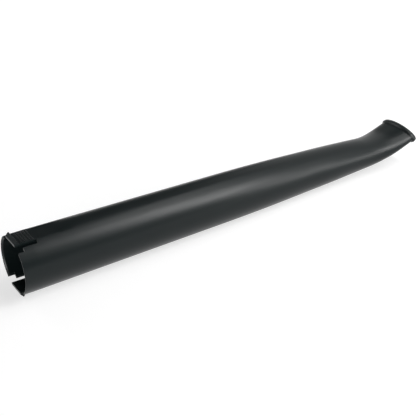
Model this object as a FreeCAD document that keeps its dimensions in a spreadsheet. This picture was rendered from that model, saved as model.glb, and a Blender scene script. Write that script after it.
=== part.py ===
import FreeCAD, Part

import os

import Sketcher

# Leaf blower nozzle tube: one moulded piece. The inlet end is round with a flat above and below;
# each flat ends in a spring tongue with a snap hook. The tube tapers, bends up and turns into a
# wide oval outlet with a raised lip. X runs along the tube from the middle of the inlet mouth.

# Driving dimensions in millimetres, angles in degrees
DRIVING = {
    # Round length: a straight inlet, a cone and an arc tangent to it, with the drops in outside radius
    "inlet_radius": 36.0,
    "inlet_length": 20.0,
    "cone_length": 260.0,
    "cone_drop": 4.5,
    "taper_length": 120.0,
    "taper_drop": 4.0,
    # Waist where the section starts to turn oval, with the drops in half width and half height
    "waist_length": 50.0,
    "waist_width_drop": 1.2,
    "waist_height_drop": 2.8,
    # Bend up to the outlet, with the outside half sizes of the oval at its start and end
    "bend_lead": 61.0,
    "bend_radius": 144.0,
    "bend_angle": 19.5,
    "bend_start_half_width": 25.2,
    "bend_start_half_height": 19.7,
    "bend_end_half_width": 30.0,
    "bend_end_half_height": 12.5,
    # Straight neck after the bend, and the lip: a short step up from the neck, then a level band
    "neck_length": 19.3,
    "neck_half_width": 30.5,
    "neck_half_height": 10.5,
    "lip_length": 6.5,
    "lip_step": 2.6,
    "lip_rise": 2.4,
    "lip_bevel": 0.5,
    # Wall of the inlet and cone, and of the outlet
    "inlet_wall": 2.7,
    "outlet_wall": 1.8,
    # Flats above and below: level from the mouth, then rising until they run out on the cone
    "flat_length": 50.0,
    "flat_rise": 3.0,
    # Spring tongues: each is as wide as the flat that it ends
    "tongue_width": 26.4,
    "slot_width": 5.0,
    "slot_length": 26.7,
    "mouth_width": 9.3,
    "mouth_length": 8.0,
    # Snap hook across the end of each tongue: front ramp, flat crest and back
    "hook_height": 3.8,
    "hook_ramp": 3.4,
    "hook_crest": 0.6,
    "hook_back": 1.8,
    # Grip ribs across each tongue behind the hook
    "rib_start": 10.0,
    "rib_pitch": 3.4,
    "rib_radius": 0.9,
    "rib_height": 0.5,
    "rib_inset": 1.5,
    # How far a cutting tool runs past what it cuts
    "overrun": 5.0,
}
RIB_COUNT = 5

# Values worked out from the driving dimensions
DERIVED = {
    "flat_height": "sqrt(inlet_radius ^ 2 - (tongue_width / 2) ^ 2)",
    "cone_end": "inlet_length + cone_length",
    "cone_end_radius": "inlet_radius - cone_drop",
    "taper_end": "cone_end + taper_length",
    "taper_end_radius": "cone_end_radius - taper_drop",
    "waist_station": "taper_end + waist_length",
    "waist_half_width": "taper_end_radius - waist_width_drop",
    "waist_half_height": "taper_end_radius - waist_height_drop",
    "bend_start": "waist_station + bend_lead",
    "bend_end_x": "bend_start + bend_radius * sin(bend_angle)",
    "bend_end_z": "bend_radius * (1 - cos(bend_angle))",
    "neck_x": "bend_end_x + neck_length * cos(bend_angle)",
    "neck_z": "bend_end_z + neck_length * sin(bend_angle)",
    "step_x": "neck_x + lip_step * cos(bend_angle)",
    "step_z": "neck_z + lip_step * sin(bend_angle)",
    "crest_x": "neck_x + (lip_length - lip_bevel) * cos(bend_angle)",
    "crest_z": "neck_z + (lip_length - lip_bevel) * sin(bend_angle)",
    "lip_x": "neck_x + lip_length * cos(bend_angle)",
    "lip_z": "neck_z + lip_length * sin(bend_angle)",
    "hook_length": "hook_ramp + hook_crest + hook_back",
    # The tube lies on the lower hook's crest and on its belly near the end of the cone
    "rest_drop": "flat_height + hook_height - cone_end_radius",
    "rest_tilt": "atan(rest_drop / (cone_end - hook_ramp))",
}

# Turns a section drawn in XY so that its width lies along Y and its normal along X
ACROSS_X = "rotation(vector(1; 1; 1); 120)"
SIDES = {"upper": 1, "lower": -1}
FLANKS = {"near": -1, "away": 1}

doc = FreeCAD.newDocument("nozzle_tube")


def make_sheet():
    """Spreadsheet with one aliased row for each driving and derived size."""
    item = doc.addObject("Spreadsheet::Sheet", "sizes")
    rows = {name: str(value) for name, value in DRIVING.items()}
    rows.update({name: "=" + formula for name, formula in DERIVED.items()})
    for number, (name, content) in enumerate(rows.items(), start=1):
        item.set(f"A{number}", name)
        item.set(f"B{number}", content)
        item.setAlias(f"B{number}", name)
    doc.recompute()
    return item


sheet = make_sheet()


def add(kind, name, bindings):
    """New document object with each named property bound to an expression."""
    item = doc.addObject(kind, name)
    for prop, expression in bindings.items():
        item.setExpression(prop, expression)
    return item


def at(x="0", y="0", z="0", turn="rotation(vector(0; 0; 1); 0)"):
    """Placement expression for a place and a turn."""
    return f"placement(vector({x}; {y}; {z}); {turn})"


def fuse(name, shapes):
    """Union of several shapes."""
    item = doc.addObject("Part::MultiFuse", name)
    item.Shapes = shapes
    item.Refine = True
    return item


def cut(name, base, tool):
    """Base without the tool."""
    item = doc.addObject("Part::Cut", name)
    item.Base = base
    item.Tool = tool
    return item


def loft(name, sections, ruled):
    """Solid through the sections: smooth along the tube, ruled in the lip."""
    item = doc.addObject("Part::Loft", name)
    item.Sections = sections
    item.Solid = True
    item.Ruled = ruled
    return item


def taper_profile(name, inset):
    """Half profile of the round length, set in from the outside by the wall."""
    near = inset * sheet.inlet_wall
    far = inset * sheet.outlet_wall
    origin = FreeCAD.Vector(0, 0, 0)
    mouth = FreeCAD.Vector(0, sheet.inlet_radius - near, 0)
    shoulder = FreeCAD.Vector(sheet.inlet_length, mouth.y, 0)
    cone_end = FreeCAD.Vector(sheet.cone_end, sheet.cone_end_radius - near, 0)
    end = FreeCAD.Vector(sheet.taper_end, sheet.taper_end_radius - far, 0)
    foot = FreeCAD.Vector(sheet.taper_end, 0, 0)
    along = (cone_end - shoulder).normalize()
    inward = FreeCAD.Vector(along.y, -along.x, 0)
    chord = end - cone_end
    radius = chord.dot(chord) / (2 * chord.dot(inward))
    centre = cone_end + inward * radius
    crown = centre + (cone_end + chord * 0.5 - centre).normalize() * radius

    sketch = doc.addObject("Sketcher::SketchObject", name)
    sketch.Placement = FreeCAD.Placement(origin, FreeCAD.Rotation(FreeCAD.Vector(1, 0, 0), 90))
    face, inlet, cone, arc, back, axis = sketch.addGeometry([
        Part.LineSegment(origin, mouth),
        Part.LineSegment(mouth, shoulder),
        Part.LineSegment(shoulder, cone_end),
        Part.Arc(end, crown, cone_end),
        Part.LineSegment(end, foot),
        Part.LineSegment(foot, origin),
    ])
    root = -1
    sketch.addConstraint([
        Sketcher.Constraint("Coincident", face, 1, root, 1),
        Sketcher.Constraint("Coincident", face, 2, inlet, 1),
        Sketcher.Constraint("Coincident", inlet, 2, cone, 1),
        Sketcher.Constraint("Tangent", cone, 2, arc, 2),
        Sketcher.Constraint("Coincident", arc, 1, back, 1),
        Sketcher.Constraint("Coincident", back, 2, axis, 1),
        Sketcher.Constraint("Coincident", axis, 2, root, 1),
        Sketcher.Constraint("Vertical", face),
        Sketcher.Constraint("Horizontal", inlet),
        Sketcher.Constraint("Vertical", back),
        Sketcher.Constraint("Horizontal", axis),
    ])
    sizes = {
        "inlet_radius": (("DistanceY", face, 1, face, 2, mouth.y),
                          f"sizes.inlet_radius - {inset} * sizes.inlet_wall"),
        "inlet_length": (("DistanceX", inlet, 1, inlet, 2, shoulder.x), "sizes.inlet_length"),
        "cone_end": (("DistanceX", root, 1, cone, 2, cone_end.x), "sizes.cone_end"),
        "cone_radius": (("DistanceY", root, 1, cone, 2, cone_end.y),
                        f"sizes.cone_end_radius - {inset} * sizes.inlet_wall"),
        "taper_end": (("DistanceX", root, 1, back, 1, end.x), "sizes.taper_end"),
        "taper_radius": (("DistanceY", root, 1, back, 1, end.y),
                         f"sizes.taper_end_radius - {inset} * sizes.outlet_wall"),
    }
    for label, (constraint, expression) in sizes.items():
        number = sketch.addConstraint(Sketcher.Constraint(*constraint))
        sketch.renameConstraint(number, label)
        sketch.setExpression(f"Constraints.{label}", expression)
    return sketch


def turned_taper(name, inset):
    """Round length turned about X from its half profile."""
    item = doc.addObject("Part::Revolution", name)
    item.Source = taper_profile(f"{name}_profile", inset)
    item.Axis = FreeCAD.Vector(1, 0, 0)
    item.Angle = 360
    item.Solid = True
    return item


def oval(name, x, z, station, inset, angle="0", grow="0"):
    """Oval section, wide along Y, that leans back by the angle."""
    allowance = f"{grow} - {inset} * sizes.outlet_wall"
    return add("Part::Ellipse", name, {
        "MajorRadius": f"sizes.{station}_half_width + {allowance}",
        "MinorRadius": f"sizes.{station}_half_height + {allowance}",
        "Placement": at(x, "0", z, f"rotation(vector(0; 1; 0); -({angle})) * {ACROSS_X}"),
    })


def tube_form(name, inset):
    """Whole outer form, or with inset 1 the form of the space inside the wall, which flares in the lip."""
    bend = "sizes.bend_angle"
    start = add("Part::Circle", f"{name}_taper_end", {
        "Radius": f"sizes.taper_end_radius - {inset} * sizes.outlet_wall",
        "Placement": at("sizes.taper_end", turn=ACROSS_X),
    })
    waist = oval(f"{name}_waist", "sizes.waist_station", "0", "waist", inset)
    bend_start = oval(f"{name}_bend_start", "sizes.bend_start", "0", "bend_start", inset)
    bend_end = oval(f"{name}_bend_end", "sizes.bend_end_x", "sizes.bend_end_z", "bend_end", inset, bend)
    neck = oval(f"{name}_neck", "sizes.neck_x", "sizes.neck_z", "neck", inset, bend)
    raised = "sizes.lip_rise"
    crest = oval(f"{name}_crest", "sizes.crest_x", "sizes.crest_z", "neck", inset, bend, raised)
    bevelled = f"{raised} - (1 - 2 * {inset}) * sizes.lip_bevel"
    rim = oval(f"{name}_rim", "sizes.lip_x", "sizes.lip_z", "neck", inset, bend, bevelled)
    lip_sections = [neck, crest, rim]
    if inset == 0:
        step = oval(f"{name}_step", "sizes.step_x", "sizes.step_z", "neck", inset, bend, raised)
        lip_sections.insert(1, step)
    taper = turned_taper(f"{name}_taper", inset)
    outlet = loft(f"{name}_outlet", [start, waist, bend_start, bend_end, neck], ruled=False)
    lip = loft(f"{name}_lip", lip_sections, ruled=True)
    return fuse(f"{name}_form", [taper, outlet, lip])


def flat_cutters(name, inset):
    """Boxes above and below that leave each flat level, then rising to its run-out."""
    height = f"(sizes.flat_height - {inset} * sizes.inlet_wall)"
    boxes = []
    for side, sign in SIDES.items():
        base = f"-sizes.inlet_radius * {(1 - sign) // 2}"
        lengths = {
            "Width": "2 * sizes.inlet_radius",
            "Height": "sizes.inlet_radius",
        }
        level = add("Part::Box", f"{name}_{side}_level", {
            "Length": "sizes.flat_length + sizes.overrun",
            "Placement": at("-sizes.overrun", "-sizes.inlet_radius", f"{sign} * {height} + {base}"),
            **lengths,
        })
        lean = f"rotation(vector(0; 1; 0); {-sign} * sizes.flat_rise)"
        rising = add("Part::Box", f"{name}_{side}_rising", {
            "Length": "sizes.cone_end - sizes.flat_length",
            "Placement": at("sizes.flat_length", "-sizes.inlet_radius", f"{sign} * {height}", lean)
            + f" * {at(z=base)}",
            **lengths,
        })
        boxes.extend([level, rising])
    return fuse(name, boxes)


def slot_cutters():
    """Narrow slots beside both tongues and their wider mouths, through both walls."""
    boxes = []
    for flank, sign in FLANKS.items():
        for kind in ("slot", "mouth"):
            width = f"sizes.{kind}_width"
            start = "sizes.tongue_width / 2" if sign > 0 else f"-sizes.tongue_width / 2 - {width}"
            boxes.append(add("Part::Box", f"{kind}_{flank}", {
                "Length": f"sizes.{kind}_length + sizes.overrun",
                "Width": width,
                "Height": "2 * (sizes.inlet_radius + sizes.overrun)",
                "Placement": at("-sizes.overrun", start, "-sizes.inlet_radius - sizes.overrun"),
            }))
    return fuse("slots", boxes)


def snap_hook(side, sign):
    """Wedge across a tongue's end: ramp at the front, crest, steep back."""
    return add("Part::Wedge", f"hook_{side}", {
        "Xmin": "0", "Xmax": "sizes.hook_length",
        "X2min": "sizes.hook_ramp", "X2max": "sizes.hook_ramp + sizes.hook_crest",
        "Ymin": "0", "Ymax": "sizes.hook_height",
        "Zmin": "-sizes.tongue_width / 2", "Zmax": "sizes.tongue_width / 2",
        "Z2min": "-sizes.tongue_width / 2", "Z2max": "sizes.tongue_width / 2",
        "Placement": at("0", "0", f"{sign} * sizes.flat_height", f"rotation(vector(1; 0; 0); {sign * 90})"),
    })


def grip_ribs(side, sign):
    """Row of low round ribs across a tongue behind its hook."""
    ribs = []
    for number in range(RIB_COUNT):
        ribs.append(add("Part::Cylinder", f"rib_{side}_{number + 1}", {
            "Radius": "sizes.rib_radius",
            "Height": "sizes.tongue_width - 2 * sizes.rib_inset",
            "Placement": at(f"sizes.rib_start + {number} * sizes.rib_pitch",
                            "sizes.tongue_width / 2 - sizes.rib_inset",
                            f"{sign} * (sizes.flat_height + sizes.rib_height - sizes.rib_radius)",
                            "rotation(vector(1; 0; 0); 90)"),
        }))
    return ribs


def check(parts):
    """Stops if any object failed or any part is not one sound solid."""
    for item in doc.Objects:
        if {"Invalid", "Error"} & set(item.State):
            raise RuntimeError(f"{item.Label} failed: {item.State}")
    for part in parts:
        shape = part.Shape
        if shape.isNull() or not shape.isValid() or len(shape.Solids) != 1:
            raise RuntimeError(f"{part.Label} is not one sound solid")


outside = cut("outside", tube_form("outer", 0), flat_cutters("outer_flats", 0))
bore = cut("bore", tube_form("inner", 1), flat_cutters("inner_flats", 1))
slotted = cut("slotted_shell", cut("shell", outside, bore), slot_cutters())
additions = []
for side, sign in SIDES.items():
    additions.append(snap_hook(side, sign))
    additions.extend(grip_ribs(side, sign))
nozzle_tube = fuse("nozzle_tube", [slotted] + additions)
nozzle_tube.setExpression("Placement", at(turn="rotation(vector(0; 1; 0); sizes.rest_tilt)"))
doc.recompute()

parts = [nozzle_tube]
check(parts)
os.makedirs("parts", exist_ok=True)
for part in parts:
    part.Shape.exportStep(f"parts/{part.Label}.step")
    print(part.Label, "volume", round(part.Shape.Volume), "centre", part.Shape.CenterOfGravity)
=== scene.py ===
"""Leaf blower nozzle tube: its moulded skin, satin black plastic, studio and camera.

The tube is one moulding, so it is one piece here too. Its skin is a grid over two parameters,
the length along the axis and the turn round it, worked out for the outside and for the inside.
The slots beside the tongues are cells left out of both grids, and strips of wall join the edges.
The tube's lengths are in millimetres until its mesh is made, in metres in the part's own frame.
"""

import logging
from dataclasses import dataclass, field
from enum import Enum

import bpy
import numpy as np
from mathutils import Matrix, Vector


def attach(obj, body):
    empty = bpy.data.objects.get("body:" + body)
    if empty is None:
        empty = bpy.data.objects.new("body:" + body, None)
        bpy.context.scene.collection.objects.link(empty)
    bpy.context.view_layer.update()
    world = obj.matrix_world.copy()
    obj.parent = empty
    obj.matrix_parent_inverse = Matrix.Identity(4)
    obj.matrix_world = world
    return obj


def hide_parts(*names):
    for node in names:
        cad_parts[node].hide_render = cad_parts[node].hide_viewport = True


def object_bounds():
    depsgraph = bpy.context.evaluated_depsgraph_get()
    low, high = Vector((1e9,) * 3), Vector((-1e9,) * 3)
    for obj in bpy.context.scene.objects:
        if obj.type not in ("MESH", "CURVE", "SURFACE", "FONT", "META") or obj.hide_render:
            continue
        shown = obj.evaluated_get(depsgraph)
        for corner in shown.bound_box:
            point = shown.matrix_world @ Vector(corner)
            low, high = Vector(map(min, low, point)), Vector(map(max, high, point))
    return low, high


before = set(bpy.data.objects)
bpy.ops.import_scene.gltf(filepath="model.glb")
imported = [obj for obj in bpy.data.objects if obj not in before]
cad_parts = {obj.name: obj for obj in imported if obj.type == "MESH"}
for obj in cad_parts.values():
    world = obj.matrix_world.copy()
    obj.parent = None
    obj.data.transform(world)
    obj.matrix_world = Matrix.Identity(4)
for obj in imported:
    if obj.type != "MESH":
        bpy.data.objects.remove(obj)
CAD_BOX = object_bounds()

Triple = tuple[float, float, float]

MILLIMETRE = 0.001  # in metres
SAME_PLACE = 1e-6  # millimetres within which two places count as one
IMAGE_PIXELS = 416.0  # side of the image
SENSOR_MM = 36.0  # width of the camera's sensor
OPAQUE = 1.0
WHITE = (1.0, 1.0, 1.0, OPAQUE)
WHITE_LAMP_POWER = 4.0  # watts a square metre at which a lamp's face is plain white
STRIP_BACK = (0.301, -0.622, 0.723)  # direction from the strip lamps' faces to their backs
STRIP_HEIGHT = 0.22  # metres
LOG = logging.getLogger("nozzle_tube")


class Wall(Enum):
    """The two faces of the tube's wall."""

    OUTSIDE = "outside"
    INSIDE = "inside"


class ShownTo(Enum):
    """The rays that the floor shows its own light to."""

    CAMERA = "Is Camera Ray"
    GLOSSY = "Is Glossy Ray"
    TRANSMISSION = "Is Transmission Ray"


def smooth_step(value: np.ndarray, low: float, high: float) -> np.ndarray:
    """Smooth rise from 0 at low to 1 at high.

    It is three times the square of the share of the way, less twice the share's cube.

    Args:
        value: The places to work it out at.
        low: Where the rise starts.
        high: Where the rise ends.

    Returns:
        The rise at each place.
    """
    share = np.clip((value - low) / (high - low), 0.0, 1.0)
    return share * share * (3.0 - 2.0 * share)


def hermite(stations: np.ndarray, values: np.ndarray, first_slope: float, at: np.ndarray) -> np.ndarray:
    """Cubic through the values with slopes that weigh the two chords beside each station.

    The last slope makes the last stretch a parabola.

    Args:
        stations: Rising places of the values.
        values: What the curve passes through.
        first_slope: Slope at the first station.
        at: Places to work the curve out at.

    Returns:
        The curve's value at each place.
    """
    span = np.diff(stations)
    chord = np.diff(values) / span
    slope = np.empty(len(stations))
    slope[0] = first_slope
    slope[1:-1] = (span[:-1] * chord[1:] + span[1:] * chord[:-1]) / (span[:-1] + span[1:])
    slope[-1] = 2.0 * chord[-1] - slope[-2]
    before = np.clip(np.searchsorted(stations, at, side="right") - 1, 0, len(span) - 1)
    share = (at - stations[before]) / span[before]
    rest = 1 - share
    return ((1 + 2 * share) * rest ** 2 * values[before]
            + share * rest ** 2 * span[before] * slope[before]
            + share * share * (3 - 2 * share) * values[before + 1]
            + share * share * (share - 1) * span[before] * slope[before + 1])


def quad_mesh(name: str, points: np.ndarray, quads: np.ndarray) -> bpy.types.Mesh:
    """Mesh of the quads, without the points that no quad uses.

    Args:
        name: Name of the mesh.
        points: Point coordinates in metres, one row each.
        quads: Four point numbers a row.

    Returns:
        The new mesh, shaded smooth.
    """
    used, compact = np.unique(quads, return_inverse=True)
    corners = compact.reshape(-1).astype(np.int32)
    mesh = bpy.data.meshes.new(name)
    mesh.vertices.add(len(used))
    mesh.vertices.foreach_set("co", points[used].astype(np.float32).ravel())
    mesh.loops.add(len(corners))
    mesh.loops.foreach_set("vertex_index", corners)
    mesh.polygons.add(len(quads))
    mesh.polygons.foreach_set("loop_start", np.arange(0, len(corners), 4, dtype=np.int32))
    mesh.update(calc_edges=True)
    mesh.validate()
    mesh.shade_smooth()
    return mesh


def add_object(name: str, data: bpy.types.ID) -> bpy.types.Object:
    """Puts a mesh, a lamp or a camera into the scene, at the origin.

    Args:
        name: Name of the object.
        data: What the object holds.

    Returns:
        The new object.
    """
    item = bpy.data.objects.new(name, data)
    bpy.context.collection.objects.link(item)
    return item


def combine(
    material: bpy.types.Material,
    operation: str,
    first: bpy.types.NodeSocket,
    second: bpy.types.NodeSocket,
) -> bpy.types.NodeSocket:
    """Puts two values of a material together.

    Args:
        material: Material that the node goes into.
        operation: Blender's name for the sum to do.
        first: Socket of the first value.
        second: Socket of the second value.

    Returns:
        The result's socket.
    """
    node = material.node_tree.nodes.new("ShaderNodeMath")
    node.operation = operation
    material.node_tree.links.new(first, node.inputs[0])
    material.node_tree.links.new(second, node.inputs[1])
    return node.outputs["Value"]


@dataclass(frozen=True)
class TubeAxis:
    """Middle line of the tube: straight, then an arc upwards, then straight again.

    Attributes:
        bend_start: Length where the arc starts.
        bend_radius: Radius of the arc.
        bend_angle: Turn of the arc in degrees.
        rest_tilt: Turn of the whole tube about Y, in degrees, as it lies at rest.
    """

    bend_start: float = 511.0
    bend_radius: float = 144.0
    bend_angle: float = 19.5
    rest_tilt: float = 1.19974

    @property
    def bend_end(self) -> float:
        """Length where the arc ends."""
        return self.bend_start + self.bend_radius * np.radians(self.bend_angle)

    def place(self, along: np.ndarray) -> tuple[np.ndarray, np.ndarray, np.ndarray]:
        """Place and lean of the axis.

        Arc length over radius gives the lean, and the lean's sine and cosine give the place.

        Args:
            along: Lengths along the axis.

        Returns:
            The x and z of the axis and its lean in radians.
        """
        turn = np.radians(self.bend_angle)
        lean = np.clip((along - self.bend_start) / self.bend_radius, 0.0, turn)
        beyond = np.maximum(along - self.bend_end, 0.0)
        x = np.minimum(along, self.bend_start) + self.bend_radius * np.sin(lean) + beyond * np.cos(turn)
        z = self.bend_radius * (1.0 - np.cos(lean)) + beyond * np.sin(turn)
        return x, z, lean

    def tilt_matrix(self) -> np.ndarray:
        """Turn about Y from the straight tube's frame to the part's frame.

        Returns:
            The turn as a matrix of three rows.
        """
        turn = np.radians(self.rest_tilt)
        sine, cosine = np.sin(turn), np.cos(turn)
        return np.array([[cosine, 0.0, sine], [0.0, 1.0, 0.0], [-sine, 0.0, cosine]])


@dataclass(frozen=True)
class TubeSections:
    """Cross sections of the tube by outside half width and half height.

    Attributes:
        inlet_radius: Radius of the straight inlet.
        inlet_length: Length of the straight inlet.
        cone_end: Length where the cone ends.
        cone_end_radius: Radius there.
        taper_end: Length where the arc after the cone ends.
        taper_end_radius: Radius there.
        stations: Lengths of the oval sections after it.
        half_widths: Half widths of those sections.
        half_heights: Half heights of those sections.
        lip_length: Length of the raised lip.
        lip_step: Length over which the lip's outside rises.
        lip_rise: How far the lip rises.
        rim_length: Length over which the lip's outside falls at the rim.
        rim_drop: How far it falls there.
        mouth_length: Length of the bevelled inside edge at the inlet's mouth.
        mouth_depth: Depth of that bevel.
        inlet_wall: Wall of the inlet and cone.
        outlet_wall: Wall from the taper's end on.
    """

    inlet_radius: float = 36.0
    inlet_length: float = 20.0
    cone_end: float = 280.0
    cone_end_radius: float = 31.5
    taper_end: float = 400.0
    taper_end_radius: float = 27.5
    stations: tuple[float, ...] = (450.0, 511.0, 560.01, 579.31)
    half_widths: tuple[float, ...] = (26.3, 25.2, 30.0, 30.5)
    half_heights: tuple[float, ...] = (24.7, 19.7, 12.5, 10.5)
    lip_length: float = 6.5
    lip_step: float = 2.3
    lip_rise: float = 2.4
    rim_length: float = 4.0
    rim_drop: float = 0.9
    mouth_length: float = 1.8
    mouth_depth: float = 1.35
    inlet_wall: float = 2.7
    outlet_wall: float = 1.8

    @property
    def lip_start(self) -> float:
        """Length of the crease where the lip starts."""
        return self.stations[-1]

    @property
    def end(self) -> float:
        """Length of the lip's rim."""
        return self.lip_start + self.lip_length

    def round_radius(self, along: np.ndarray) -> tuple[np.ndarray, float]:
        """Radius of the round length: straight, a cone, then a parabola tangent to the cone.

        Args:
            along: Lengths along the axis.

        Returns:
            The radius at each length and the slope at the taper's end.
        """
        cone_slope = (self.cone_end_radius - self.inlet_radius) / (self.cone_end - self.inlet_length)
        run = self.taper_end - self.cone_end
        bow = (self.taper_end_radius - self.cone_end_radius - cone_slope * run) / run ** 2
        cone = self.inlet_radius + cone_slope * np.maximum(along - self.inlet_length, 0.0)
        radius = cone + bow * np.maximum(along - self.cone_end, 0.0) ** 2
        return radius, cone_slope + 2.0 * bow * run

    def wall(self, along: np.ndarray) -> np.ndarray:
        """Wall thickness: even along the cone, then thinning in a straight line to the outlet's."""
        return np.interp(along, [self.cone_end, self.taper_end], [self.inlet_wall, self.outlet_wall])

    def mouth_bevel(self, along: np.ndarray) -> np.ndarray:
        """Depth of the straight bevel on the inside edge of the inlet's mouth."""
        return self.mouth_depth * np.maximum(1.0 - along / self.mouth_length, 0.0)

    def lip(self, along: np.ndarray, wall: Wall) -> np.ndarray:
        """Rise of the lip on one face of the wall.

        Outside it is a straight step, then a fall that grows as its square; inside, a straight flare.

        Args:
            along: Lengths along the axis.
            wall: Which face of the wall.

        Returns:
            How far the lip stands out from the oval at each length.
        """
        past = along - self.lip_start
        if wall is Wall.INSIDE:
            return self.lip_rise * np.clip(past / self.lip_length, 0.0, 1.0)
        rise = self.lip_rise * np.clip(past / self.lip_step, 0.0, 1.0)
        fall = np.clip((past - self.lip_length) / self.rim_length + 1.0, 0.0, 1.0) ** 2
        return rise - self.rim_drop * fall

    def half_sizes(self, along: np.ndarray, wall: Wall) -> tuple[np.ndarray, np.ndarray]:
        """Half width and half height: the round length, a cubic through the ovals, then the lip's rise.

        Args:
            along: Lengths along the axis.
            wall: Which face of the wall.

        Returns:
            Half width and half height at each length.
        """
        radius, slope = self.round_radius(along)
        knots = np.array((self.taper_end,) + self.stations)
        oval = np.clip(along, self.taper_end, self.lip_start)
        inset = self.wall(along) if wall is Wall.INSIDE else 0.0
        sizes = []
        for ovals in (self.half_widths, self.half_heights):
            values = np.array((self.taper_end_radius,) + ovals)
            curve = hermite(knots, values, slope, oval) + self.lip(along, wall)
            sizes.append(np.where(along < self.taper_end, radius, curve) - inset)
        return sizes[0], sizes[1]


@dataclass(frozen=True)
class InletEnd:
    """Flats, tongues, slots, snap hooks and grip ribs of the inlet, above and below alike.

    Attributes:
        tongue_half: Half the width of a tongue and of its flat.
        slot_edge: Distance from the middle to the far side of the narrow slot.
        slot_end: Length of the narrow slot.
        mouth_edge: Distance from the middle to the far side of the slot's mouth.
        mouth_end: Length of the mouth.
        upright_fade: Sines of the turn between which the inside's further turn runs out.
        flat_hold: Length up to which the flats stay crisp.
        flat_fade: Length where the flats have run out.
        hook_stations: Lengths of the hook's foot, crest and back.
        hook_heights: Heights of the hook there.
        hook_round: Length over which the hook's corners are rounded.
        hook_samples: Number of places on that length.
        rib_first: Length of the first rib.
        rib_pitch: Distance between ribs.
        rib_count: Number of ribs.
        rib_radius: Radius of a rib's round back.
        rib_height: How far a rib stands out.
        rib_half: Half the length of a rib across the tongue.
        rib_end: Distance over which a rib's end falls away.
    """

    tongue_half: float = 13.2
    slot_edge: float = 18.2
    slot_end: float = 26.7
    mouth_edge: float = 22.5
    mouth_end: float = 8.0
    upright_fade: tuple[float, float] = (0.66, 0.95)
    flat_hold: float = 44.0
    flat_fade: float = 82.0
    hook_stations: tuple[float, ...] = (0.0, 3.4, 4.0, 5.8)
    hook_heights: tuple[float, ...] = (0.0, 3.78, 3.78, 0.0)
    hook_round: float = 0.5
    hook_samples: int = 9
    rib_first: float = 10.0
    rib_pitch: float = 3.4
    rib_count: int = 5
    rib_radius: float = 0.9
    rib_height: float = 0.5
    rib_half: float = 11.7
    rib_end: float = 0.4

    @property
    def rib_sunk(self) -> float:
        """How far the middle of a rib's round back lies below the flat."""
        return self.rib_radius - self.rib_height

    @property
    def rib_half_foot(self) -> float:
        """Half the width of a rib where its round back meets the flat."""
        return np.sqrt(self.rib_radius ** 2 - self.rib_sunk ** 2)

    def rib_centres(self) -> np.ndarray:
        """Lengths of the ribs' middles."""
        return self.rib_first + self.rib_pitch * np.arange(self.rib_count)

    def hook_rise(self, along: np.ndarray) -> np.ndarray:
        """Height of the hook: straight lines between its corners, averaged over a short length.

        Args:
            along: Lengths along the axis.

        Returns:
            The height at each length.
        """
        spread = np.linspace(-0.5, 0.5, self.hook_samples) * self.hook_round
        places = along[..., None] + spread
        profile = np.interp(places, self.hook_stations, self.hook_heights, left=0.0, right=0.0)
        return profile.mean(axis=-1)

    def rib_rise(self, along: np.ndarray, across: np.ndarray) -> np.ndarray:
        """Height of the ribs: a circle's cap above the flat, cut off towards the rib's two ends.

        Args:
            along: Lengths along the axis.
            across: Distances from the middle of the tongue.

        Returns:
            The height at each place.
        """
        away = np.abs(along[..., None] - self.rib_centres()).min(axis=-1)
        cap = np.sqrt(np.maximum(self.rib_radius ** 2 - away ** 2, 0.0)) - self.rib_sunk
        ends = 1.0 - smooth_step(np.abs(across), self.rib_half - self.rib_end, self.rib_half)
        return np.maximum(cap, 0.0) * ends

    def open_cells(self, along: np.ndarray, across: np.ndarray) -> np.ndarray:
        """Tells the cells of the grid that lie in a slot or in its mouth.

        Args:
            along: Lengths of the cells' middles.
            across: Distances of the cells' middles from the middle of the tongue.

        Returns:
            True for each open cell.
        """
        distance = np.abs(across)
        slot = (along < self.slot_end) & (distance < self.slot_edge)
        mouth = (along < self.mouth_end) & (distance < self.mouth_edge)
        return (slot | mouth) & (distance > self.tongue_half)


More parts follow.
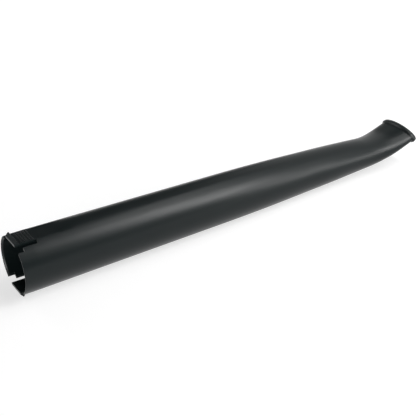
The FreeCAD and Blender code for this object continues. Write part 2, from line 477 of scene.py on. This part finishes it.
@dataclass(frozen=True)
class GridLines:
    """Grid lines of the tube's skin, close together at the inlet, in the bend and at the lip.

    Attributes:
        hook: Lengths of the lines on the hook and behind it, one of them where the mouth's bevel ends.
        rib_shares: Lines on a rib, as shares of half its foot.
        slot_lead: How far before the slot's end a line lies.
        fade: Lengths of the lines behind the slots, where the flats run out.
        cone_start: Length of the first line after those.
        cone_pitch: Distance between lines on the cone and the taper.
        waist_pitch: The same from the taper's end to the bend.
        bend_pitch: The same from the bend's start on.
        bend_stop: How far before the lip those lines stop.
        crease_lead: How far before the lip's crease a line lies.
        step_shares: Lines on the lip's step, as shares of its length.
        band: Distances of the lines on the lip's band from the crease.
        rim_lead: How far before the lip's rim a line lies.
        tongue_even: Distance from a tongue's middle up to which its lines are even.
        tongue_count: Number of those lines.
        slot_count: Number of lines across the narrow slot.
        mouth_count: Number of lines from its far side to the mouth's.
        side_count: Number of lines from there to the tube's side.
    """

    hook: tuple[float, ...] = (
        0.0, 0.02, 0.1, 0.25, 0.5, 0.8, 1.3, 1.8, 2.3, 2.7, 2.95, 3.15, 3.35, 3.55, 3.7, 3.85,
        4.05, 4.25, 4.6, 5.0, 5.35, 5.6, 5.8, 6.0, 6.3, 7.1,
    )
    rib_shares: tuple[float, ...] = (-1.08, -0.98, -0.8, -0.45, 0.0, 0.45, 0.8, 0.98, 1.08)
    slot_lead: float = 1.1
    fade: tuple[float, ...] = (
        27.6, 29.0, 31.5, 35.0, 39.0, 44.0, 49.0, 54.0, 59.0, 64.0, 70.0, 76.0, 82.0, 90.0,
    )
    cone_start: float = 102.0
    cone_pitch: float = 12.0
    waist_pitch: float = 6.0
    bend_pitch: float = 3.0
    bend_stop: float = 1.5
    crease_lead: float = 0.8
    step_shares: tuple[float, ...] = (0.0, 0.33, 0.67, 1.0)
    band: tuple[float, ...] = (3.2, 3.9, 4.6, 5.3)
    rim_lead: float = 0.5
    tongue_even: float = 10.5
    tongue_count: int = 8
    slot_count: int = 5
    mouth_count: int = 4
    side_count: int = 19

    def along(self, axis: TubeAxis, sections: TubeSections, inlet: InletEnd) -> np.ndarray:
        """Lines along the whole tube.

        Args:
            axis: Middle line.
            sections: Cross sections.
            inlet: Flats, tongues and slots.

        Returns:
            Rising lengths from the inlet's end to the lip's rim.
        """
        crease, rim = sections.lip_start, sections.end
        ribs = inlet.rib_centres()[:, None] + np.array(self.rib_shares) * inlet.rib_half_foot
        slot = [inlet.slot_end - self.slot_lead, inlet.slot_end]
        cone = np.arange(self.cone_start, sections.taper_end, self.cone_pitch)
        waist = np.arange(sections.taper_end, axis.bend_start, self.waist_pitch)
        bend = np.arange(axis.bend_start, crease - self.bend_stop, self.bend_pitch)
        step = crease + sections.lip_step * np.array(self.step_shares)
        band = crease + np.array(self.band)
        lip = [crease - self.crease_lead, *step, *band, rim - self.rim_lead, rim]
        return np.concatenate(
            [self.hook, [inlet.mouth_end], ribs.ravel(), slot, self.fade, cone, waist, bend, lip]
        )

    def around(self, sections: TubeSections, inlet: InletEnd) -> np.ndarray:
        """Lines all round the tube, as turns from the top in radians.

        The tongue, the slot and the mouth have even steps across; the side has even turns.
        The quarter's lines are turned over at the side, and the half's at the bottom.

        Args:
            sections: Cross sections.
            inlet: Flats, tongues and slots.

        Returns:
            Rising turns from 0 to just short of a full circle.
        """
        even = np.linspace(0.0, self.tongue_even, self.tongue_count)
        tongue = np.append(even, [inlet.rib_half - inlet.rib_end, inlet.rib_half])
        slot = np.linspace(inlet.tongue_half, inlet.slot_edge, self.slot_count)
        mouth = np.linspace(inlet.slot_edge, inlet.mouth_edge, self.mouth_count)[1:]
        crossing = np.arcsin(np.concatenate([tongue, slot, mouth]) / sections.inlet_radius)
        side = np.linspace(crossing[-1], np.pi / 2.0, self.side_count)[1:]
        quarter = np.concatenate([crossing, side])
        half = np.concatenate([quarter, np.pi - quarter[-2::-1]])
        return np.concatenate([half, 2.0 * np.pi - half[-2:0:-1]])


@dataclass(frozen=True)
class SatinPlastic:
    """Satin black moulded plastic: a fine grain, faint lengthwise flow and uneven sheen.

    Attributes:
        name: Name of the material.
        dark: Darker tone of the plastic.
        light: Lighter tone of the plastic.
        cloud_scale: Clouds of the two tones to a metre.
        cloud_detail: Octaves of the clouds.
        gloss_low: Lowest roughness.
        gloss_high: Highest roughness.
        flow_scale: Marks of the flow to a metre, along the tube and across it.
        flow_detail: Octaves of the flow.
        flow_range: Values of the flow that give the lowest and the highest roughness.
        reflection: Specular level.
        grain_scale: Grains to a metre.
        grain_detail: Octaves of the grain.
        grain_depth: Depth of the grain in metres.
        grain_strength: Share of that depth that shows.
    """

    name: str = "satin_black_plastic"
    dark: Triple = (0.0042, 0.0073, 0.0077)
    light: Triple = (0.0068, 0.0105, 0.0109)
    cloud_scale: float = 22.0
    cloud_detail: float = 4.0
    gloss_low: float = 0.29
    gloss_high: float = 0.37
    flow_scale: Triple = (6.0, 110.0, 110.0)
    flow_detail: float = 5.0
    flow_range: tuple[float, float] = (0.3, 0.7)
    reflection: float = 0.25
    grain_scale: float = 1700.0
    grain_detail: float = 3.0
    grain_depth: float = 0.00003
    grain_strength: float = 0.35

    def build(self) -> bpy.types.Material:
        """Makes the material from noise in the object's own coordinates.

        Returns:
            The finished material.
        """
        material = bpy.data.materials.new(self.name)
        material.use_nodes = True
        nodes, links = material.node_tree.nodes, material.node_tree.links
        shader = nodes["Principled BSDF"]
        shader.inputs["Specular IOR Level"].default_value = self.reflection
        place = nodes.new("ShaderNodeTexCoord").outputs["Object"]

        cloud = self._noise(material, place, self.cloud_detail, self.cloud_scale)
        tone = nodes.new("ShaderNodeMix")
        tone.data_type = "RGBA"
        tone.inputs["A"].default_value = (*self.dark, OPAQUE)
        tone.inputs["B"].default_value = (*self.light, OPAQUE)
        links.new(cloud, tone.inputs["Factor"])
        links.new(tone.outputs["Result"], shader.inputs["Base Color"])

        flow_map = nodes.new("ShaderNodeMapping")
        flow_map.inputs["Scale"].default_value = self.flow_scale
        links.new(place, flow_map.inputs["Vector"])
        flow = self._noise(material, flow_map.outputs["Vector"], self.flow_detail)
        gloss = nodes.new("ShaderNodeMapRange")
        gloss.inputs["From Min"].default_value, gloss.inputs["From Max"].default_value = self.flow_range
        gloss.inputs["To Min"].default_value = self.gloss_low
        gloss.inputs["To Max"].default_value = self.gloss_high
        links.new(flow, gloss.inputs["Value"])
        links.new(gloss.outputs["Result"], shader.inputs["Roughness"])

        grain = self._noise(material, place, self.grain_detail, self.grain_scale)
        bump = nodes.new("ShaderNodeBump")
        bump.inputs["Strength"].default_value = self.grain_strength
        bump.inputs["Distance"].default_value = self.grain_depth
        links.new(grain, bump.inputs["Height"])
        links.new(bump.outputs["Normal"], shader.inputs["Normal"])
        return material

    @staticmethod
    def _noise(
        material: bpy.types.Material, place: bpy.types.NodeSocket, detail: float, scale: float = 1.0
    ) -> bpy.types.NodeSocket:
        """Noise at a place.

        Args:
            material: Material that the node goes into.
            place: Socket that gives the place.
            detail: Octaves of the noise.
            scale: Scale of the noise, where the place isn't scaled already.

        Returns:
            The noise's value socket.
        """
        node = material.node_tree.nodes.new("ShaderNodeTexNoise")
        node.inputs["Scale"].default_value = scale
        node.inputs["Detail"].default_value = detail
        material.node_tree.links.new(place, node.inputs["Vector"])
        return node.outputs["Fac"]


@dataclass
class NozzleTube:
    """The whole moulding as one closed skin.

    Attributes:
        axis: Middle line.
        sections: Cross sections.
        inlet: Flats, tongues and slots.
        grid: Grid lines of the skin.
        finish: Its plastic.
        edge_width: Width of the rounded edges in millimetres.
        edge_segments: Number of faces across a rounded edge.
        edge_angle: Angle in degrees from which an edge is rounded.
        sharp_angle: Angle in degrees from which an edge shows as a crease.
    """

    axis: TubeAxis = field(default_factory=TubeAxis)
    sections: TubeSections = field(default_factory=TubeSections)
    inlet: InletEnd = field(default_factory=InletEnd)
    grid: GridLines = field(default_factory=GridLines)
    finish: SatinPlastic = field(default_factory=SatinPlastic)
    edge_width: float = 0.3
    edge_segments: int = 2
    edge_angle: float = 45.0
    sharp_angle: float = 14.0

    def inside_bevel(self, along: np.ndarray, sine: np.ndarray) -> np.ndarray:
        """Depth of the bevel at the inlet's mouth, which only the walls beside the tongues have.

        Args:
            along: Lengths of the grid lines.
            sine: Sines of the turns of the grid lines.

        Returns:
            The depth by grid line along and grid line round.
        """
        beside_tongue = np.abs(sine) * self.sections.inlet_radius > self.inlet.tongue_half + SAME_PLACE
        return self.sections.mouth_bevel(along)[:, None] * beside_tongue

    def upright_sine(self, sine: np.ndarray) -> np.ndarray:
        """Sine of the inside's turn, which goes a little further, so that slot walls stand upright.

        It grows by the outside radius over the inside radius, and less and less towards the sides.

        Args:
            sine: Sines of the outside's turns.

        Returns:
            Sines of the inside's turns.
        """
        sections = self.sections
        further = sections.inlet_radius / (sections.inlet_radius - sections.inlet_wall) - 1.0
        return sine * (1.0 + further * (1.0 - smooth_step(np.abs(sine), *self.inlet.upright_fade)))

    def cut_flats(self, along: np.ndarray, reach: np.ndarray, wall: Wall) -> np.ndarray:
        """Cuts the section off at the flats, fully up to a length, then less and less.

        A flat lies as high as the round outside at a tongue's edge, less the wall on the inside.

        Args:
            along: Lengths of the grid lines.
            reach: Heights of the round section above the middle.
            wall: Which face of the wall.

        Returns:
            The heights that are left.
        """
        inlet, sections = self.inlet, self.sections
        outer_height = sections.half_sizes(along, Wall.OUTSIDE)[1]
        flat_share = np.sqrt(1.0 - (inlet.tongue_half / sections.inlet_radius) ** 2)
        under = sections.wall(along) if wall is Wall.INSIDE else 0.0
        flat = (outer_height * flat_share - under)[:, None]
        hold = 1.0 - smooth_step(along, inlet.flat_hold, inlet.flat_fade)[:, None]
        return reach + hold * (np.minimum(reach, flat) - reach)

    def tongue_rise(self, along: np.ndarray, across: np.ndarray) -> np.ndarray:
        """Height of the hook plus the ribs on a tongue's outside, and nothing beside it.

        Args:
            along: Lengths of the grid lines.
            across: Distances of the points from the middle of the tongue.

        Returns:
            The height at each point.
        """
        inlet = self.inlet
        spot = np.broadcast_to(along[:, None], across.shape)
        on_tongue = (np.abs(across) <= inlet.tongue_half + SAME_PLACE) & (spot <= inlet.slot_end)
        rise = inlet.hook_rise(along)[:, None] + inlet.rib_rise(spot, across)
        return np.where(on_tongue, rise, 0.0)

    def face_points(self, along: np.ndarray, turn: np.ndarray, wall: Wall) -> np.ndarray:
        """Points of one face of the wall in the straight tube's frame.

        Across is half width times the sine of the turn, and up is half height times its cosine, cut
        off at the flats. A tongue's outside adds the hook and the ribs. Up follows the axis's lean.

        Args:
            along: Lengths of the grid lines.
            turn: Turns of the grid lines.
            wall: Which face of the wall.

        Returns:
            Point coordinates by grid line along, grid line round, and axis.
        """
        width, height = (size[:, None] for size in self.sections.half_sizes(along, wall))
        sine, cosine = np.sin(turn), np.cos(turn)
        if wall is Wall.INSIDE:
            bevel = self.inside_bevel(along, sine)
            width, height = width + bevel, height + bevel
            sine = self.upright_sine(sine)
            cosine = np.sign(cosine) * np.sqrt(np.maximum(1.0 - sine ** 2, 0.0))
        across = width * sine
        reach = self.cut_flats(along, height * np.abs(cosine), wall)
        if wall is Wall.OUTSIDE:
            reach = reach + self.tongue_rise(along, across)
        up = np.sign(cosine) * reach
        x, z, lean = (value[:, None] for value in self.axis.place(along))
        return np.stack([x - np.sin(lean) * up, across, z + np.cos(lean) * up], axis=-1)

    def solid_cells(self, along: np.ndarray, turn: np.ndarray) -> np.ndarray:
        """Tells the cells of the grid that are plastic by where their middles lie.

        Args:
            along: Lengths of the grid lines.
            turn: Turns of the grid lines.

        Returns:
            True for each solid cell, by row along and column round.
        """
        middle_along = 0.5 * (along[:-1] + along[1:])[:, None]
        middle_turn = turn + 0.5 * ((np.roll(turn, -1) - turn) % (2.0 * np.pi))
        middle_across = self.sections.inlet_radius * np.sin(middle_turn)[None, :]
        return ~self.inlet.open_cells(middle_along, middle_across)

    def skin_quads(self, solid: np.ndarray) -> np.ndarray:
        """Quads of the outside, the inside and the strips of wall where a solid cell meets an open one.

        Point number is row times columns plus column; the inside's points follow the outside's.

        Args:
            solid: True for each solid cell, by row along and column round.

        Returns:
            Four point numbers a row, each quad facing out of the plastic.
        """
        rows, columns = solid.shape
        number = np.arange((rows + 1) * columns).reshape(rows + 1, columns)
        beside = np.roll(number, -1, axis=1)
        inside = number.size
        cell = np.stack([number[:-1], number[1:], beside[1:], beside[:-1]], axis=-1)[solid]
        quads = [cell, cell[:, ::-1] + inside]

        padded = np.pad(solid, ((1, 1), (0, 0)))
        ring = np.stack([number, beside, beside + inside, number + inside], axis=-1)
        quads.append(ring[padded[1:] & ~padded[:-1]])
        quads.append(ring[padded[:-1] & ~padded[1:]][:, ::-1])

        before = np.roll(solid, 1, axis=1)
        line = np.stack([number[:-1], number[:-1] + inside, number[1:] + inside, number[1:]], axis=-1)
        quads.append(line[solid & ~before])
        quads.append(line[before & ~solid][:, ::-1])
        return np.concatenate(quads)

    def build(self) -> bpy.types.Object:
        """Builds the tube's mesh in the part's frame and dresses it.

        Returns:
            The tube, riding on the part's one body in place of its solid.
        """
        along = self.grid.along(self.axis, self.sections, self.inlet)
        turn = self.grid.around(self.sections, self.inlet)
        faces = [self.face_points(along, turn, wall) for wall in (Wall.OUTSIDE, Wall.INSIDE)]
        points = np.concatenate([face.reshape(-1, 3) for face in faces])
        points = points @ self.axis.tilt_matrix().T * MILLIMETRE

        mesh = quad_mesh("nozzle_tube_skin", points, self.skin_quads(self.solid_cells(along, turn)))
        mesh.set_sharp_from_angle(angle=np.radians(self.sharp_angle))
        mesh.materials.append(self.finish.build())
        tube = add_object("nozzle_tube_skin", mesh)
        self.round_edges(tube)
        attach(tube, "root")
        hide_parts("nozzle_tube")
        return tube

    def round_edges(self, tube: bpy.types.Object) -> None:
        """Rounds the wall's edges at the inlet, the slots and the lip's rim.

        Args:
            tube: The tube's object.
        """
        bevel = tube.modifiers.new("rounded_edges", "BEVEL")
        bevel.width = self.edge_width * MILLIMETRE
        bevel.segments = self.edge_segments
        bevel.limit_method = "ANGLE"
        bevel.angle_limit = np.radians(self.edge_angle)
        bevel.use_clamp_overlap = False
        bevel.harden_normals = True


@dataclass(frozen=True)
class Softbox:
    """A soft rectangular studio lamp.

    Attributes:
        name: Name of the lamp.
        place: Where it stands, in metres.
        back: Direction from its face to its back.
        along: Direction of its width.
        width: Its width in metres.
        height: Its height in metres.
        radiance: How bright its face is, where 1 is plain white.
    """

    name: str
    place: Triple
    back: Triple
    along: Triple
    width: float
    height: float
    radiance: float

    def build(self) -> bpy.types.Object:
        """Makes the lamp. Its power is a white lamp's times its area times how bright its face is.

        Returns:
            The lamp's object.
        """
        lamp = bpy.data.lights.new(self.name, "AREA")
        lamp.shape = "RECTANGLE"
        lamp.size = self.width
        lamp.size_y = self.height
        lamp.energy = WHITE_LAMP_POWER * self.width * self.height * self.radiance
        back = Vector(self.back).normalized()
        along = Vector(self.along)
        side = (along - back * back.dot(along)).normalized()
        top = back.cross(side)
        turn = Matrix((side, top, back)).transposed()
        holder = add_object(self.name, lamp)
        holder.matrix_world = Matrix.Translation(Vector(self.place)) @ turn.to_4x4()
        holder.visible_camera = False
        return holder


@dataclass(frozen=True)
class StudioCamera:
    """Camera at the photograph's viewing angle.

    The angles place it about the middle of the inlet's mouth, which shows at the given pixel.

    Attributes:
        swing: Turn from straight across the tube towards the inlet, in degrees.
        rise: Height angle in degrees.
        roll: Roll about the line of sight in degrees.
        focal_pixels: Focal length in pixels of the image.
        mouth_pixel: Where the middle of the mouth shows.
        distance: Depth of the mouth's middle in millimetres.
        clip_near: Depth in metres from which things show.
        clip_far: Depth in metres up to which things show.
    """

    swing: float = 31.64
    rise: float = 29.71
    roll: float = -1.1
    focal_pixels: float = 1000.0
    mouth_pixel: tuple[float, float] = (13.09, 265.44)
    distance: float = 1146.69
    clip_near: float = 0.01
    clip_far: float = 100.0

    def build(self, tilt: np.ndarray) -> bpy.types.Object:
        """Makes the camera and puts it in charge of the scene.

        Args:
            tilt: Turn from the straight tube's frame to the part's frame.

        Returns:
            The camera's object.
        """
        swing, rise, roll = np.radians([self.swing, self.rise, self.roll])
        back = np.array([-np.sin(swing) * np.cos(rise), -np.cos(swing) * np.cos(rise), np.sin(rise)])
        level = np.array([np.cos(swing), -np.sin(swing), 0.0])
        upright = np.cross(back, level)
        right = np.cos(roll) * level + np.sin(roll) * upright
        top = np.cos(roll) * upright - np.sin(roll) * level
        middle = IMAGE_PIXELS / 2.0
        shift = (np.array(self.mouth_pixel) - middle) / self.focal_pixels
        eye = self.distance * (back - shift[0] * right + shift[1] * top) * MILLIMETRE
        columns = tilt @ np.stack([right, top, back], axis=1)

        lens = bpy.data.cameras.new("studio_camera")
        lens.sensor_width = SENSOR_MM
        lens.lens = self.focal_pixels / IMAGE_PIXELS * SENSOR_MM
        lens.clip_start = self.clip_near
        lens.clip_end = self.clip_far
        camera = add_object("studio_camera", lens)
        placed = Matrix(columns.tolist()).to_4x4()
        placed.translation = Vector((tilt @ eye).tolist())
        camera.matrix_world = placed
        bpy.context.scene.camera = camera
        return camera


@dataclass
class Studio:
    """Plain pale floor, soft lamps, dim surround and the camera.

    The three strips face the same way and give the long highlight; the right wall is a broad, dim
    sheen. The last two lamps light the step of the lip and the edge of the inlet.

    Attributes:
        softboxes: The lamps.
        camera: The camera.
        floor_size: Side of the floor in metres.
        backdrop_height: Height in metres of the backdrop round the floor's edge.
        floor_colour: Colour of the floor.
        floor_roughness: Roughness of the floor.
        floor_reflection: Specular level of the floor.
        floor_lift_near: Light of its own that the floor shows beside the part.
        floor_lift_far: The same, far from the part and its lamps.
        floor_reach: Distances in metres between which the one turns into the other.
        surround: Brightness of the dim surround.
    """

    softboxes: tuple[Softbox, ...] = (
        Softbox(
            name="upper_strip", place=(1.05, 0.05, 1.675), back=STRIP_BACK,
            along=(-0.344, -0.770, -0.533), width=1.22, height=STRIP_HEIGHT, radiance=6.8,
        ),
        Softbox(
            name="middle_strip", place=(0.92, -0.70, 1.09), back=STRIP_BACK,
            along=(0.225, -0.703, -0.675), width=0.71, height=STRIP_HEIGHT, radiance=18.8,
        ),
        Softbox(
            name="lower_strip", place=(1.40, -1.24, 0.425), back=STRIP_BACK,
            along=(0.615, -0.446, -0.654), width=1.30, height=STRIP_HEIGHT, radiance=10.6,
        ),
        Softbox(
            name="right_wall", place=(1.50, 0.40, 0.82), back=(1.0, 0.0, 0.0),
            along=(0.0, 1.0, 0.0), width=2.40, height=1.55, radiance=0.62,
        ),
        Softbox(
            name="lip_softbox", place=(-0.12, 0.67, 0.24), back=(-0.70, 0.67, 0.21),
            along=(0.66, 0.75, 0.0), width=0.22, height=0.22, radiance=4.5,
        ),
        Softbox(
            name="inlet_softbox", place=(-1.00, -0.52, 0.14), back=(-1.10, -0.52, 0.14),
            along=(0.45, -0.90, 0.0), width=1.00, height=0.40, radiance=8.0,
        ),
    )
    camera: StudioCamera = field(default_factory=StudioCamera)
    floor_size: float = 24.0
    backdrop_height: float = 1.0
    floor_colour: Triple = (0.45, 0.45, 0.45)
    floor_roughness: float = 0.9
    floor_reflection: float = 0.1
    floor_lift_near: float = 0.62
    floor_lift_far: float = 0.92
    floor_reach: tuple[float, float] = (0.35, 1.40)
    surround: float = 0.09

    def build(self, tilt: np.ndarray) -> None:
        """Sets up the whole studio.

        Args:
            tilt: Turn from the straight tube's frame to the part's frame.
        """
        self.lay_floor()
        self.set_surround()
        for softbox in self.softboxes:
            softbox.build()
            LOG.info("lamp %s", softbox.name)
        self.camera.build(tilt)
        bpy.context.scene.view_settings.view_transform = "Standard"

    def lay_floor(self) -> bpy.types.Object:
        """Lays the floor under the part's lowest point, with a backdrop standing round its edge.

        Returns:
            The floor's object.
        """
        half = self.floor_size / 2.0
        corner = np.array([[-half, -half], [half, -half], [half, half], [-half, half]])
        low = np.column_stack([corner, np.full(len(corner), CAD_BOX[0].z)])
        high = low + np.array([0.0, 0.0, self.backdrop_height])
        flat = np.arange(len(corner))
        foot = flat + len(corner)
        top = foot + len(corner)
        sides = np.stack([foot, top, np.roll(top, -1), np.roll(foot, -1)], axis=1)
        mesh = quad_mesh("studio_floor", np.concatenate([low, low, high]), np.vstack([flat, sides]))
        mesh.materials.append(self.floor_material())
        floor = add_object("studio_floor", mesh)
        return floor

    def floor_material(self) -> bpy.types.Material:
        """Pale floor with a light of its own, which grows where the lamps' light falls away.

        It shows that light to the camera and in reflections, and doesn't light the part with it.

        Returns:
            The floor's material.
        """
        material = bpy.data.materials.new("pale_floor")
        material.use_nodes = True
        nodes, links = material.node_tree.nodes, material.node_tree.links
        shader = nodes["Principled BSDF"]
        shader.inputs["Base Color"].default_value = (*self.floor_colour, OPAQUE)
        shader.inputs["Roughness"].default_value = self.floor_roughness
        shader.inputs["Specular IOR Level"].default_value = self.floor_reflection
        shader.inputs["Emission Color"].default_value = WHITE
        away = nodes.new("ShaderNodeVectorMath")
        away.operation = "DISTANCE"
        away.inputs[1].default_value = (CAD_BOX[0] + CAD_BOX[1]) / 2.0
        links.new(nodes.new("ShaderNodeTexCoord").outputs["Object"], away.inputs[0])
        lift = nodes.new("ShaderNodeMapRange")
        lift.interpolation_type = "SMOOTHSTEP"
        lift.inputs["From Min"].default_value, lift.inputs["From Max"].default_value = self.floor_reach
        lift.inputs["To Min"].default_value = self.floor_lift_near
        lift.inputs["To Max"].default_value = self.floor_lift_far
        links.new(away.outputs["Value"], lift.inputs["Value"])

        rays = nodes.new("ShaderNodeLightPath")
        shown = rays.outputs[ShownTo.CAMERA.value]
        for kind in (ShownTo.GLOSSY, ShownTo.TRANSMISSION):
            shown = combine(material, "MAXIMUM", shown, rays.outputs[kind.value])
        strength = combine(material, "MULTIPLY", shown, lift.outputs["Result"])
        links.new(strength, shader.inputs["Emission Strength"])
        material.cycles.emission_sampling = "NONE"
        return material

    def set_surround(self) -> None:
        """Dim even surround, so that the plastic stays dark where no lamp or floor shows in it."""
        world = bpy.data.worlds.new("studio_surround")
        world.use_nodes = True
        background = world.node_tree.nodes["Background"]
        background.inputs["Color"].default_value = WHITE
        background.inputs["Strength"].default_value = self.surround
        bpy.context.scene.world = world


def main() -> None:
    """Builds the tube and the studio in order and reports each piece."""
    logging.basicConfig(level=logging.INFO, format="%(name)s: %(message)s")
    tube = NozzleTube()
    piece = tube.build()
    LOG.info("piece %s with %d faces", piece.name, len(piece.data.polygons))
    Studio().build(tube.axis.tilt_matrix())


if __name__ == "__main__":
    main()
